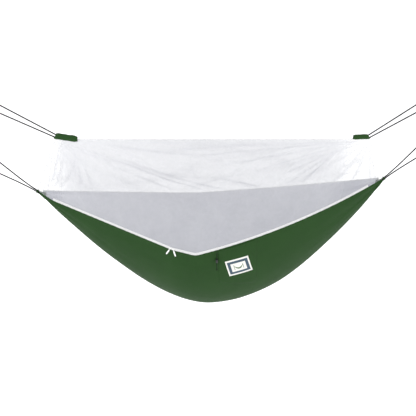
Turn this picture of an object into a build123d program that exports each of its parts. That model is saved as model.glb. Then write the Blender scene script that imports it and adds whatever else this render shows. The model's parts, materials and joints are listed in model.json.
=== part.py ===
from build123d import *
from math import asin, atan2, cos, pi, radians, sin, tan
import os

# Camping hammock with an insect net, hung at rest. Millimetres. +X runs along the bed, -Y is the
# zipped side, +Z is up. The origin is below the middle, level with the lowest point of the bed.

# Bed: two end gathers, two rims that sag to a vertex, and a deep trough between them.
HALF_SPAN = 1200.0
END_RISE = 49.0
BED_END_X = 1165.0
VERTEX_X = -95.0
RIM_HALF_WIDTH = 485.5
RIM_DROP = 287.4
RIGHT_BULGE = 0.442
BED_DROP = 897.2
BED_SKEW = 1.0812
BED_FULLNESS = 0.91
SHELL_THICK = 2.0
LINING_THICK = 1.5
LAYER_GAP = 0.3

# Left rim: straight where the left slider runs, with how far it has come to the vertex at each end.
STRAIGHT_START_X = -1080.0
STRAIGHT_START_SHARE = 0.158
STRAIGHT_END_X = -247.0
STRAIGHT_END_SHARE = 0.913

# Zip along the near rim: lower tape, coil and upper tape, side by side in the rim's own plane.
ZIP_END_X = 1080.0
HEM_LIP = 3.8
LOWER_TAPE = 7.0
COIL_WIDTH = 4.0
COIL_HALF_HEIGHT = 1.7
DOOR_GAP = 0.4
DOOR_END_GAP = 4.0
UPPER_TAPE = 8.0
TAPE_HALF_THICK = 0.75
STOP_LENGTH = 8.0
STOP_HALF_HEIGHT = 2.6

# Net: one ridge line and two steep end edges that run down to the gathers.
RIDGE_RISE = 333.0
RIDGE_LEFT_X = -1046.0
RIDGE_RIGHT_X = 1072.0
NET_THICK = 1.6
NET_RIDGE_GAP = 0.3
BINDING_HEIGHT = 9.0
BINDING_WIDTH = 5.0
RIDGE_TAPE_HALF_WIDTH = 5.0
RIDGE_TAPE_THICK = 2.5

# Gathers and ropes.
GATHER_TIP_X = 1210.0
GATHER_RADIUS = 12.5
NECK_RADIUS = 9.0
NECK_LENGTH = 10.0
BULB_LENGTH = 10.0
WRAP_RADIUS = 13.5
ROPE_DIAMETER = 9.0
LOOP_TILT = 45.0

# Ridge sleeves: flat fabric channels that hold the ends of the two upper ropes.
SLEEVE_DEPTH = 26.0
SLEEVE_CORNER = 6.0
SLEEVE_WALL = 2.0

# Sliders, pulls, pocket, label, drawcord and cord lock.
SLIDER_LEFT_X = -256.0
SLIDER_RIGHT_X = -238.0
SLIDER_LENGTH = 16.0
PULL_LENGTH = 48.0
PULL_DROOP = 48.0
PULL_SPLAY_LEFT = -19.0
PULL_SPLAY_RIGHT = 30.0
POCKET_X = (54.0, 306.0)
POCKET_ANGLES = (4.5, 31.0)
POCKET_THICK = 4.0
POCKET_HEM_ANGLES = (0.8, 4.2)
POCKET_HEM_THICK = 6.0
LABEL_X = (104.0, 276.0)
LABEL_BORDER = 16.0
LABEL_BORDER_ANGLE = 1.4
LABEL_ANGLES = (9.6, 22.6)
LABEL_TILT_PER_MM = 0.006
LABEL_THICK = 1.0
LABEL_LAYER_GAP = 0.1
DRAWCORD_X = 44.0
DRAWCORD_DIAMETER = 4.5
DRAWCORD_DROP = 128.0
DRAWCORD_STAND_OFF = 15.0
LOCK_DROP = 66.0
LOCK_SIZE = (14.0, 20.0, 22.0)
LOCK_CORD_OFFSET = 2.0
LOCK_WALL = 2.5
SPRING_TURNS = 3
SPRING_RADIUS = 3.2
SPRING_WIRE = 0.6
BUTTON_RADIUS = 4.2
BUTTON_PROUD = 5.0
BUTTON_TRAVEL = 2.5
BUTTON_BACK_WALL = 2.0
RUNNING_GAP = 0.25
LOCK_CORNER = 2.5
EYELET_WIDTH = 9.0
EYELET_THICK = 4.0
EYELET_CORNER = 1.5
EYELET_DROP = 5.0
EYELET_SEWN_DEPTH = 1.4
KNOT_RADIUS = 4.6
KNOT_HEIGHT = 8.4

RIM_SLOPE = atan2(RIM_DROP, RIM_HALF_WIDTH)
INWARD = Vector(cos(RIM_SLOPE), sin(RIM_SLOPE))
UPWARD = Vector(-sin(RIM_SLOPE), cos(RIM_SLOPE))


def rim_share(x):
    """How far the rim at x has come from a gather (0) to the vertex (1)."""
    if x > VERTEX_X:
        t = (HALF_SPAN - x) / (HALF_SPAN - VERTEX_X)
        return t + RIGHT_BULGE * t * (1 - t)
    corners = [
        (-HALF_SPAN, 0.0),
        (STRAIGHT_START_X, STRAIGHT_START_SHARE),
        (STRAIGHT_END_X, STRAIGHT_END_SHARE),
        (VERTEX_X, 1.0),
    ]
    low, high = next(pair for pair in zip(corners, corners[1:]) if x <= pair[1][0])
    return low[1] + (high[1] - low[1]) * (x - low[0]) / (high[0] - low[0])


def bed_sag(x):
    """Depth of the trough's lowest line below the line between the gathers."""
    u = (x + HALF_SPAN) / (2 * HALF_SPAN)
    return BED_DROP * sin(pi * u**BED_SKEW) ** BED_FULLNESS


def end_rise(x):
    return END_RISE * x / HALF_SPAN


def span(start, end, steps):
    return [start + (end - start) * k / steps for k in range(steps + 1)]


COIL_END_X = ZIP_END_X - STOP_LENGTH
EVEN_STATIONS = (
    span(-BED_END_X, -ZIP_END_X, 2)
    + span(-ZIP_END_X, STRAIGHT_END_X, 7)
    + [VERTEX_X]
    + span(VERTEX_X, ZIP_END_X, 9)
    + span(ZIP_END_X, BED_END_X, 2)
)
STATIONS = sorted(
    {*EVEN_STATIONS, -COIL_END_X, COIL_END_X, RIDGE_LEFT_X, RIDGE_RIGHT_X, *POCKET_X, *LABEL_X}
)
AXIS_HEIGHT = max(bed_sag(x) - end_rise(x) for x in STATIONS)


def axis_z(x):
    """Height of the line between the two gathers."""
    return AXIS_HEIGHT + end_rise(x)


def rim_y(x):
    return RIM_HALF_WIDTH * rim_share(x)


def rim_z(x):
    return axis_z(x) - RIM_DROP * rim_share(x)


def net_top(x):
    """Height of the net's upper edge: the ridge, or an end edge down to the gather."""
    if x < RIDGE_LEFT_X:
        share = (x + HALF_SPAN) / (RIDGE_LEFT_X + HALF_SPAN)
    elif x > RIDGE_RIGHT_X:
        share = (HALF_SPAN - x) / (HALF_SPAN - RIDGE_RIGHT_X)
    else:
        return AXIS_HEIGHT + RIDGE_RISE
    corner = AXIS_HEIGHT + RIDGE_RISE
    return axis_z(x) + share * (corner - axis_z(x))


def across(x):
    """Plane square to X, whose own axes are Y and Z."""
    return Plane(origin=(x, 0, 0), x_dir=(0, 1, 0), z_dir=(1, 0, 0))


def polygon(x, points):
    return across(x) * make_face(Polyline(*points, close=True))


def ruled(xs, section):
    """One solid through a section at each x, straight from each to the next."""
    return loft([section(x) for x in xs], ruled=True)


def trough_band(x, outset, thick, first=0.0, last=180.0):
    """Slice of a curved layer over the trough, between two angles counted down from the near rim."""
    a = rim_y(x) + outset
    b = rim_z(x) - (axis_z(x) - bed_sag(x)) + outset
    start, size = 180.0 + first, last - first
    outer = EllipticalCenterArc((0, 0), a, b, start, arc_size=size)
    inner = EllipticalCenterArc((0, 0), a - thick, b - thick, start, arc_size=size)
    sides = [Line(outer @ 0, inner @ 0), Line(outer @ 1, inner @ 1)]
    face = make_face([outer, inner, *sides])
    return across(x) * (Pos(0, rim_z(x)) * face)


def zip_point(x, inward, upward):
    """Point in the section at x, by its distance along and off the rim's plane."""
    foot = Vector(-rim_y(x) + HEM_LIP / 2, rim_z(x))
    return foot + INWARD * inward + UPWARD * upward


def strip(x, start, end, half):
    corners = [(start, half), (start, -half), (end, -half), (end, half)]
    return polygon(x, [zip_point(x, *corner) for corner in corners])


def between(low, high):
    """The stations strictly between two places, with the places themselves at the ends."""
    return [low] + [x for x in STATIONS if low < x < high] + [high]


# ---- bed ----


def bed_shell():
    return ruled(STATIONS, lambda x: trough_band(x, 0.0, SHELL_THICK))


def bed_lining():
    return ruled(STATIONS, lambda x: trough_band(x, -SHELL_THICK - LAYER_GAP, LINING_THICK))


def far_rim_binding():
    def section(x):
        low, high = rim_z(x), rim_z(x) + BINDING_HEIGHT
        width = min(BINDING_WIDTH, rim_y(x) / 3)
        start, end = rim_y(x) - width, rim_y(x)
        return polygon(x, [(start, low), (end, low), (end, high), (start, high)])

    return ruled(STATIONS, section)


# ---- zip ----


def zipper_lower_tape():
    def section(x):
        lip = [(-rim_y(x), rim_z(x)), (-rim_y(x) + HEM_LIP, rim_z(x))]
        top = [zip_point(x, LOWER_TAPE, -TAPE_HALF_THICK), zip_point(x, LOWER_TAPE, TAPE_HALF_THICK)]
        return polygon(x, lip + top)

    return ruled(between(-ZIP_END_X, ZIP_END_X), section)


def zipper_coil():
    start, end = LOWER_TAPE, LOWER_TAPE + COIL_WIDTH
    return ruled(between(-COIL_END_X, COIL_END_X), lambda x: strip(x, start, end, COIL_HALF_HEIGHT))


def zipper_stop(side):
    xs = sorted([side * ZIP_END_X, side * COIL_END_X])
    return ruled(xs, lambda x: strip(x, LOWER_TAPE, LOWER_TAPE + COIL_WIDTH, STOP_HALF_HEIGHT))


def net_door_tape():
    start = LOWER_TAPE + COIL_WIDTH + DOOR_GAP
    end = start + UPPER_TAPE
    return ruled(between(-ZIP_END_X, ZIP_END_X), lambda x: strip(x, start, end, TAPE_HALF_THICK))


# ---- net ----

NEAR_NET_START = LOWER_TAPE + COIL_WIDTH + DOOR_GAP + UPPER_TAPE + NET_RIDGE_GAP


def net_far_panel():
    def section(x):
        low, top = rim_z(x) + BINDING_HEIGHT, net_top(x)
        width = min(NET_THICK, rim_y(x) / 4)
        foot = rim_y(x) - width
        return polygon(
            x, [(foot, low), (foot + width, low), (NET_RIDGE_GAP + width, top), (NET_RIDGE_GAP, top)]
        )

    return ruled(STATIONS, section)


def near_net_section(x, foot, foot_z):
    top = net_top(x)
    corners = [(foot, foot_z), (-NET_RIDGE_GAP - NET_THICK, top), (-NET_RIDGE_GAP, top)]
    return polygon(x, [*corners, (foot + NET_THICK, foot_z)])


def net_near_panel():
    def section(x):
        foot = zip_point(x, NEAR_NET_START, 0)
        return near_net_section(x, foot.X, foot.Y + TAPE_HALF_THICK)

    return ruled(between(-ZIP_END_X, ZIP_END_X), section)


def net_end_panel(side):
    """The short stretch of the near side between the end of the zip and the gather."""
    xs = sorted([side * (ZIP_END_X + DOOR_END_GAP), side * (ZIP_END_X + BED_END_X) / 2, side * BED_END_X])
    return ruled(xs, lambda x: near_net_section(x, -rim_y(x), rim_z(x) + LAYER_GAP))


def net_ridge_tape():
    length = RIDGE_RIGHT_X - RIDGE_LEFT_X
    low_corner = Align.MIN, Align.CENTER, Align.MIN
    return Pos(RIDGE_LEFT_X, 0, AXIS_HEIGHT + RIDGE_RISE) * Box(
        length, 2 * RIDGE_TAPE_HALF_WIDTH, RIDGE_TAPE_THICK, align=low_corner
    )


# ---- hung ends: gathers, sleeves and ropes ----


class HungEnd:
    """Where a doubled rope leaves the hammock, and the loop that it makes further out."""

    def __init__(self, side, start, rise, half_gap, twist, reach, loop_radius, channel=(0.0, 0.0, 0.0)):
        self.side = side
        self.out = Vector(side * cos(radians(rise)), 0, sin(radians(rise)))
        self.start = Vector(*start)
        self.half_gap = half_gap
        self.twist = twist
        self.reach = reach
        self.loop_radius = loop_radius
        self.length, self.height, self.slope = channel

    def face(self, back=0.0):
        """Plane square to the rope, its own x axis across the two strands."""
        spread = Vector(0, cos(radians(LOOP_TILT)), sin(radians(LOOP_TILT)))
        spread = (spread - self.out * spread.dot(self.out)).normalized()
        return Plane(origin=self.start - self.out * back, x_dir=spread, z_dir=self.out)

    def route(self):
        """Control points of the rope: out along one strand, round the loop and back."""
        flare = asin((self.loop_radius - self.half_gap) / (self.reach - self.twist))
        turn = (pi + 2 * flare) / 3
        corner = self.loop_radius / cos(turn / 2)
        outward = [(self.half_gap, 0.0)]
        if self.twist:
            outward.append((self.half_gap, self.twist))
        outward.append((corner * sin(turn), self.reach + corner * cos(turn)))
        back = [(-across_gap, out) for across_gap, out in reversed(outward)]
        plane = self.face()
        flat = [*outward, (0.0, self.reach + corner), *back]
        return [plane.from_local_coords(Vector(a, 0, o)) for a, o in flat]


LEFT_GATHER = HungEnd(-1, (0, 0, 0), 35.4, 5.0, 65.0, 330.0, 40.0)
RIGHT_GATHER = HungEnd(1, (0, 0, 0), 42.6, 5.0, 65.0, 350.0, 40.0)
for gather in (LEFT_GATHER, RIGHT_GATHER):
    reach_x = GATHER_TIP_X - GATHER_RADIUS * gather.out.Z
    gather.start = Vector(gather.side * reach_x, 0, axis_z(gather.side * HALF_SPAN))

RIDGE_Z = AXIS_HEIGHT + RIDGE_RISE
LEFT_SLEEVE = HungEnd(-1, (-1040.0, 0, RIDGE_Z + 23.0), 28.1, 10.0, 0.0, 435.0, 28.0, (148.0, 43.0, 9.0))
RIGHT_SLEEVE = HungEnd(1, (1066.0, 0, RIDGE_Z + 19.0), 33.3, 10.0, 0.0, 435.0, 28.0, (103.0, 33.0, 3.0))


def corner_radii(points):
    """Each corner's arc: 0.45 of its shorter run, over the tangent of half its turn."""
    radii = []
    for before, here, after in zip(points, points[1:], points[2:]):
        arriving, leaving = here - before, after - here
        half_turn = radians(arriving.get_angle(leaving)) / 2
        radii.append(0.45 * min(arriving.length, leaving.length) / tan(half_turn))
    return radii


def tube(points, radii, diameter):
    path = FilletPolyline(*points, radius=radii)
    ring = Plane(origin=path @ 0, z_dir=path % 0) * Circle(diameter / 2)
    solid = sweep(ring, path=path)
    expected = pi * diameter**2 / 4 * path.length
    print(f"tube {path.length:.0f} mm, radii {[round(r) for r in radii]}, {solid.volume / expected:.4f}")
    return solid


def hung_rope(end):
    """Tube along the rope: gentle arcs where the strands part, and the loop's own radius beyond."""
    points = end.route()
    radii = corner_radii(points)
    loop_corners = 3
    first = (len(radii) - loop_corners) // 2
    for k in range(first, first + loop_corners):
        radii[k] = end.loop_radius * 0.999
    return tube(points, radii, ROPE_DIAMETER)


def gather_sleeve(end):
    """Bunched end of the bed: a tapering mouth, a neck for the wrap and a bulb."""
    x = end.side * BED_END_X
    low, high = axis_z(x) - bed_sag(x), rim_z(x)
    mouth = Pos(0, (low + high) / 2) * Ellipse(rim_y(x) * 1.05, (high - low) * 0.62)
    neck_back = end.face(NECK_LENGTH + BULB_LENGTH)
    mouth = across(x) * mouth
    taper = loft([mouth, neck_back * Circle(NECK_RADIUS)])
    neck = neck_back * extrude(Circle(NECK_RADIUS), NECK_LENGTH)
    bulb = end.face(BULB_LENGTH) * extrude(Circle(GATHER_RADIUS), BULB_LENGTH)
    return taper + neck + bulb


def gather_wrap(end):
    ring = Circle(WRAP_RADIUS) - Circle(NECK_RADIUS)
    return end.face(NECK_LENGTH + BULB_LENGTH) * extrude(ring, NECK_LENGTH)


def ridge_sleeve(end):
    """Flat fabric channel that straddles the ridge, with its outer face square to the rope."""
    slope = radians(end.slope)
    inward = Vector(-end.side * cos(slope), 0, -sin(slope))
    outline = RectangleRounded(SLEEVE_DEPTH, end.height, SLEEVE_CORNER)
    outer = Plane(origin=end.start, x_dir=(0, 1, 0), z_dir=end.out * -1) * outline
    inner = Plane(origin=end.start + inward * end.length, x_dir=(0, 1, 0), z_dir=inward) * outline
    ridge = Pos(0, 0, RIDGE_Z + RIDGE_TAPE_THICK) * Box(
        3 * HALF_SPAN, SLEEVE_DEPTH - 2 * SLEEVE_WALL, 100, align=(Align.CENTER, Align.CENTER, Align.MAX)
    )
    return loft([outer, inner]) - ridge


# ---- sliders and pulls ----

# Each slider runs along its own straight stretch of coil, from its place to its limit.
LEFT_RUN = (SLIDER_LEFT_X, -1055.0)
RIGHT_RUN = (SLIDER_RIGHT_X, -120.0)


def coil_centre(x):
    centre = zip_point(x, LOWER_TAPE + COIL_WIDTH / 2, 0)
    return Vector(x, centre.X, centre.Y)


def slider_plane(run):
    """Frame on the coil: x towards the left gather, y outwards over the lower tape, z off the tape."""
    leftwards = (coil_centre(min(run)) - coil_centre(max(run))).normalized()
    inward = Vector(0, INWARD.X, INWARD.Y)
    return Plane(origin=coil_centre(run[0]), x_dir=leftwards, z_dir=inward.cross(leftwards))


BAR_Y, BAR_Z, BAR_RADIUS = 7.5, 8.6, 1.2
EYE_RADIUS, EYE_THICK = 4.0, 3.0
PLATE_FOOT, PLATE_TOP = 2.1, 3.7
PLATE_Y = (-1.5, 9.0)
PLATE_CORNER = 1.2
RIB_FOOT = 1.15
RIB_WIDTH = 1.2
RIB_INSET = 2.0
COIL_RIB_Y = 2.3
POST_X = 6.0
POST_WIDTH = 1.6
BAR_LENGTH = 13.6
BAR_CLEARANCE = 0.4
NECK_LENGTH_TO_TAB = 12.0
NECK_HALF_THICK = 1.0
TAB_HALF_WIDTH = 4.5
TAB_HALF_THICK = 1.3
TAB_CORNER = 3.2


def block(x, y, z):
    """Box between two values on each axis."""
    size = [high - low for low, high in (x, y, z)]
    return Pos(x[0], y[0], z[0]) * Box(*size, align=(Align.MIN,) * 3)


def zipper_slider(run):
    half = SLIDER_LENGTH / 2
    plate = block((-half, half), PLATE_Y, (PLATE_FOOT, PLATE_TOP))
    plate = fillet(plate.edges().filter_by(Axis.Z), PLATE_CORNER)
    ribs = [
        block((RIB_INSET - half, half - RIB_INSET), (y, y + RIB_WIDTH), (RIB_FOOT, PLATE_FOOT))
        for y in (COIL_RIB_Y, PLATE_Y[1] - RIB_WIDTH)
    ]
    posts = [
        block((x - POST_WIDTH / 2, x + POST_WIDTH / 2), (BAR_Y - POST_WIDTH, PLATE_Y[1]), (PLATE_TOP, BAR_Z))
        for x in (-POST_X, POST_X)
    ]
    bar = Pos(0, BAR_Y, BAR_Z) * Rot(0, 90, 0) * Cylinder(BAR_RADIUS, BAR_LENGTH)
    body = plate + ribs + posts + bar
    return slider_plane(run) * body


def zipper_pull(run, splay):
    """Moulded tab on an eye that turns about the slider's bar."""
    bore = BAR_RADIUS + BAR_CLEARANCE
    eye = Rot(0, 90, 0) * (Cylinder(EYE_RADIUS, EYE_THICK) - Cylinder(bore, EYE_THICK))
    neck_thickness = (-NECK_HALF_THICK, NECK_HALF_THICK)
    neck = block((-EYE_THICK / 2, EYE_THICK / 2), (EYE_RADIUS - 1, NECK_LENGTH_TO_TAB + 1), neck_thickness)
    tab_thickness = (-TAB_HALF_THICK, TAB_HALF_THICK)
    tab = block((-TAB_HALF_WIDTH, TAB_HALF_WIDTH), (NECK_LENGTH_TO_TAB, PULL_LENGTH), tab_thickness)
    tab = fillet(tab.edges().filter_by(Axis.Z), TAB_CORNER)
    hanging = Rot(0, 0, splay) * (neck + tab)
    clear = Rot(0, 90, 0) * Cylinder(bore, EYE_THICK * 3)
    pull = Pos(0, BAR_Y, BAR_Z) * Rot(-PULL_DROOP, 0, 0) * (eye + (hanging - clear))
    return slider_plane(run) * pull


# ---- pocket, label and drawcord ----


def wall_patch(xs, angles, outset, thick, tilt=0.0):
    """Layer on the outside of the bed's near wall, between two angles below the rim."""
    middle = (xs[0] + xs[-1]) / 2

    def section(x):
        shift = tilt * (x - middle)
        return trough_band(x, outset + thick, thick, angles[0] + shift, angles[1] + shift)

    return ruled(xs, section)


POCKET_STATIONS = between(*POCKET_X)


def storage_pocket():
    return wall_patch(POCKET_STATIONS, POCKET_ANGLES, LAYER_GAP, POCKET_THICK)


def pocket_hem():
    return wall_patch(POCKET_STATIONS, POCKET_HEM_ANGLES, LAYER_GAP, POCKET_HEM_THICK)


LABEL_OUTSET = POCKET_THICK + 2 * LAYER_GAP


def label_patch():
    xs = between(*LABEL_X)
    return wall_patch(xs, LABEL_ANGLES, LABEL_OUTSET, LABEL_THICK, LABEL_TILT_PER_MM)


def label_panel():
    xs = between(LABEL_X[0] + LABEL_BORDER, LABEL_X[1] - LABEL_BORDER)
    angles = LABEL_ANGLES[0] + LABEL_BORDER_ANGLE, LABEL_ANGLES[1] - LABEL_BORDER_ANGLE
    outset = LABEL_OUTSET + LABEL_THICK + LABEL_LAYER_GAP
    return wall_patch(xs, angles, outset, LABEL_THICK / 2, LABEL_TILT_PER_MM)


def drawcord_top():
    """Where the drawcord leaves its eyelet, in front of the near wall."""
    return Vector(DRAWCORD_X, -rim_y(DRAWCORD_X) - DRAWCORD_STAND_OFF, rim_z(DRAWCORD_X) - EYELET_DROP)


def drawcord_eyelet():
    """Short fabric tab at the rim that the drawcord hangs from."""
    top = drawcord_top()
    sewn_to = -rim_y(DRAWCORD_X) + EYELET_SEWN_DEPTH
    depth = sewn_to - top.Y + EYELET_THICK
    sewn_edge = Align.CENTER, Align.MAX, Align.MIN
    tab = Pos(top.X, sewn_to, top.Z) * Box(EYELET_WIDTH, depth, EYELET_THICK, align=sewn_edge)
    return fillet(tab.edges().filter_by(Axis.Z), EYELET_CORNER)


def pocket_drawcord():
    top = drawcord_top()
    length = DRAWCORD_DROP
    return Pos(top.X, top.Y, top.Z - length) * Cylinder(
        DRAWCORD_DIAMETER / 2, length, align=(Align.CENTER, Align.CENTER, Align.MIN)
    )


def drawcord_knot():
    top = drawcord_top()
    ball = Sphere(KNOT_RADIUS) & Box(3 * KNOT_RADIUS, 3 * KNOT_RADIUS, KNOT_HEIGHT)
    return Pos(top.X, top.Y, top.Z - DRAWCORD_DROP - KNOT_HEIGHT / 2) * ball


CORD_AT_LOCK = drawcord_top() - Vector(0, 0, LOCK_DROP)
CORD_HOLE_RADIUS = DRAWCORD_DIAMETER / 2 + RUNNING_GAP
BUTTON_BACK = DRAWCORD_DIAMETER / 2 + BUTTON_BACK_WALL
LOCK_FRONT = LOCK_CORD_OFFSET - LOCK_SIZE[1] / 2
BORE_BACK = LOCK_FRONT + LOCK_SIZE[1] - LOCK_WALL


def rod_along_y(radius, start, end):
    return Pos(0, (start + end) / 2, 0) * Rot(90, 0, 0) * Cylinder(radius, end - start)


def cord_lock_body():
    """Rounded block with a vertical hole for the cord and a blind bore for the button."""
    shell = Pos(0, LOCK_CORD_OFFSET, 0) * fillet(Box(*LOCK_SIZE).edges(), LOCK_CORNER)
    cord_hole = Cylinder(CORD_HOLE_RADIUS, LOCK_SIZE[2] * 2)
    bore = rod_along_y(BUTTON_RADIUS + RUNNING_GAP, LOCK_FRONT - 1, BORE_BACK)
    return Pos(*CORD_AT_LOCK) * (shell - cord_hole - bore)


def cord_lock_button():
    """Plunger with a slot for the cord, longer than wide so that the plunger can be pressed."""
    rod = rod_along_y(BUTTON_RADIUS, LOCK_FRONT - BUTTON_PROUD, BUTTON_BACK)
    slot = Cylinder(CORD_HOLE_RADIUS, 20) + Pos(0, -BUTTON_TRAVEL, 0) * Cylinder(CORD_HOLE_RADIUS, 20)
    slot += Pos(0, -BUTTON_TRAVEL / 2, 0) * Box(2 * CORD_HOLE_RADIUS, BUTTON_TRAVEL, 20)
    return Pos(*CORD_AT_LOCK) * (rod - slot)


def cord_lock_spring():
    """Short coil spring between the button's back and the end of the bore."""
    length = BORE_BACK - BUTTON_BACK - 2 * SPRING_WIRE
    helix = Helix(length / SPRING_TURNS, length, SPRING_RADIUS)
    wire = sweep(Plane(origin=helix @ 0, z_dir=helix % 0) * Circle(SPRING_WIRE / 2), path=helix)
    return Pos(*CORD_AT_LOCK) * Pos(0, BORE_BACK - SPRING_WIRE, 0) * Rot(90, 0, 0) * wire


parts = {
    "bed_shell": bed_shell(),
    "bed_lining": bed_lining(),
    "far_rim_binding": far_rim_binding(),
    "zipper_lower_tape": zipper_lower_tape(),
    "zipper_coil": zipper_coil(),
    "zipper_stop_left": zipper_stop(-1),
    "zipper_stop_right": zipper_stop(1),
    "net_door_tape": net_door_tape(),
    "net_far_panel": net_far_panel(),
    "net_near_panel": net_near_panel(),
    "net_end_panel_left": net_end_panel(-1),
    "net_end_panel_right": net_end_panel(1),
    "net_ridge_tape": net_ridge_tape(),
    "gather_sleeve_left": gather_sleeve(LEFT_GATHER),
    "gather_sleeve_right": gather_sleeve(RIGHT_GATHER),
    "gather_wrap_left": gather_wrap(LEFT_GATHER),
    "gather_wrap_right": gather_wrap(RIGHT_GATHER),
    "ridge_sleeve_left": ridge_sleeve(LEFT_SLEEVE),
    "ridge_sleeve_right": ridge_sleeve(RIGHT_SLEEVE),
    "bed_rope_left": hung_rope(LEFT_GATHER),
    "bed_rope_right": hung_rope(RIGHT_GATHER),
    "net_rope_left": hung_rope(LEFT_SLEEVE),
    "net_rope_right": hung_rope(RIGHT_SLEEVE),
    "slider_left": zipper_slider(LEFT_RUN),
    "slider_right": zipper_slider(RIGHT_RUN),
    "pull_left": zipper_pull(LEFT_RUN, PULL_SPLAY_LEFT),
    "pull_right": zipper_pull(RIGHT_RUN, PULL_SPLAY_RIGHT),
    "storage_pocket": storage_pocket(),
    "pocket_hem": pocket_hem(),
    "label_patch": label_patch(),
    "label_panel": label_panel(),
    "drawcord_eyelet": drawcord_eyelet(),
    "pocket_drawcord": pocket_drawcord(),
    "drawcord_knot": drawcord_knot(),
    "cord_lock_body": cord_lock_body(),
    "cord_lock_button": cord_lock_button(),
    "cord_lock_spring": cord_lock_spring(),
}

os.makedirs("parts", exist_ok=True)
for name, part in parts.items():
    part.label = name
    export_step(part, f"parts/{name}.step")
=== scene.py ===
import json
import math

import bmesh
import bpy
import numpy as np
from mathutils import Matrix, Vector, noise


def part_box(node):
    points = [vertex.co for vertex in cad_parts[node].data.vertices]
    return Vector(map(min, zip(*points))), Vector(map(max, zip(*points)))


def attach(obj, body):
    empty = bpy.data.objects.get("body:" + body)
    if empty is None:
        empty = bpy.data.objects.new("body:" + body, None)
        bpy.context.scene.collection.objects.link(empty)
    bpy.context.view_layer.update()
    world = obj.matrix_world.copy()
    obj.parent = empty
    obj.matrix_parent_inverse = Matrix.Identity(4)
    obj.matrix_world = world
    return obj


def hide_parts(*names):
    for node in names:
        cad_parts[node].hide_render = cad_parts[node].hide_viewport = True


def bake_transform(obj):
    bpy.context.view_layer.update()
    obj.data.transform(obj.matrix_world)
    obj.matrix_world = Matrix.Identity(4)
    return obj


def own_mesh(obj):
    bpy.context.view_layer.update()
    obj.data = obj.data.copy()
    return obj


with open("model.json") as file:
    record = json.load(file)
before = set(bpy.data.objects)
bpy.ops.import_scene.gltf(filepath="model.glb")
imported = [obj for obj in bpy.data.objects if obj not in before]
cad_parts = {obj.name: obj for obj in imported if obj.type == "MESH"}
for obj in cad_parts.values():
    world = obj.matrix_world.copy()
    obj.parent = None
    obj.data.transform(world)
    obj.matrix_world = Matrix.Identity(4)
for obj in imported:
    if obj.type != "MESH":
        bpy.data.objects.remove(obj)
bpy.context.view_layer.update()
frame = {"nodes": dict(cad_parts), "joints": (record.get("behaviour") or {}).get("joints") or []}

# The hammock's driving sizes, in metres: two gathers, two sagging rims and the trough between them.
HALF_SPAN = 1.2
END_RISE = 0.049
BED_END_X = 1.165
VERTEX_X = -0.095
RIM_HALF_WIDTH = 0.4855
RIM_DROP = 0.2874
RIGHT_BULGE = 0.442
LEFT_RIM_X = (-1.200, -1.080, -0.247, -0.095)
LEFT_RIM_SHARE = (0.0, 0.158, 0.913, 1.0)
# Corners of the rim: place, how far to each side it is rounded, and how much the slope changes there.
RIM_CORNERS = ((-1.080, 0.012, 0.410), (-0.247, 0.006, 0.334), (-0.095, 0.022, 1.003))
WALL_GIVE = 0.10
BED_DROP = 0.8972
BED_SKEW = 1.0812
BED_FULLNESS = 0.91
RIDGE_RISE = 0.333
RIDGE_LEFT_X = -1.046
RIDGE_RIGHT_X = 1.072
ZIP_END_X = 1.080

DOOR_JOINT = next(j for j in frame["joints"] if j["name"] == "net_door_swing")
AXIS_HEIGHT = DOOR_JOINT["pos_m"][2]
RIDGE_Z = AXIS_HEIGHT + RIDGE_RISE
RIM_SLOPE = math.atan2(RIM_DROP, RIM_HALF_WIDTH)

ROPE_DIAMETER = 0.009
LOOP_TILT = 45.0
GATHER_TIP_X = 1.210
GATHER_RADIUS = 0.0125
NEAR_LOOP = 0.054


# ---------------------------------------------------------------- shape of the cloth


def rim_share(x, give=0.0):
    """How far the rim at x has come from a gather (0) to the vertex (about 1), straight where a slider runs.

    give rounds the corners over a longer stretch, for the cloth below the rim.
    """
    x = np.asarray(x, float)
    left = np.interp(x, LEFT_RIM_X, LEFT_RIM_SHARE)
    t = (HALF_SPAN - x) / (HALF_SPAN - VERTEX_X)
    right = t + RIGHT_BULGE * t * (1 - t)
    share = np.where(x > VERTEX_X, right, left)
    for corner_x, least, bend in RIM_CORNERS:
        reach = least + give
        near = np.clip(1 - np.abs(x - corner_x) / reach, 0, 1)
        share = share - bend * reach / 4 * near**2
    return share


def axis_z(x):
    return AXIS_HEIGHT + END_RISE * np.asarray(x, float) / HALF_SPAN


def bed_sag(x):
    u = (np.asarray(x, float) + HALF_SPAN) / (2 * HALF_SPAN)
    return BED_DROP * np.sin(np.pi * u**BED_SKEW) ** BED_FULLNESS


def keel_z(x):
    """Height of the bed's lowest line."""
    return axis_z(x) - bed_sag(x)


def rim_y(x, give=0.0):
    return RIM_HALF_WIDTH * rim_share(x, give)


def rim_z(x, give=0.0):
    return axis_z(x) - RIM_DROP * rim_share(x, give)


def net_top(x):
    """Height of the net's upper edge: the ridge, or an end edge that falls to its gather."""
    x = np.asarray(x, float)
    left = (x + HALF_SPAN) / (RIDGE_LEFT_X + HALF_SPAN)
    right = (HALF_SPAN - x) / (HALF_SPAN - RIDGE_RIGHT_X)
    share = np.clip(np.minimum(left, right), 0, 1)
    return axis_z(x) + share * (RIDGE_Z - axis_z(x))


def smooth(low, high, value):
    t = np.clip((value - low) / (high - low), 0, 1)
    return t * t * (3 - 2 * t)


def unit(vectors):
    """The same directions, one metre long."""
    return vectors / np.linalg.norm(vectors, axis=-1, keepdims=True)


def points_at(x, y, z):
    """Points from three coordinates, any of which may be a single value."""
    return np.stack(np.broadcast_arrays(x, y, z), -1)


def around(count):
    """Angles once round a circle."""
    return np.linspace(0, 2 * math.pi, count, endpoint=False)


def flattened(wave, power):
    """A sine wave with its crests pulled towards square."""
    return np.sign(wave) * np.abs(wave) ** power


def values_at(at, lengths, values):
    """3-D values given along a line, at other lengths along it."""
    return np.stack([np.interp(at, lengths, values[:, k]) for k in range(3)], -1)


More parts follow.
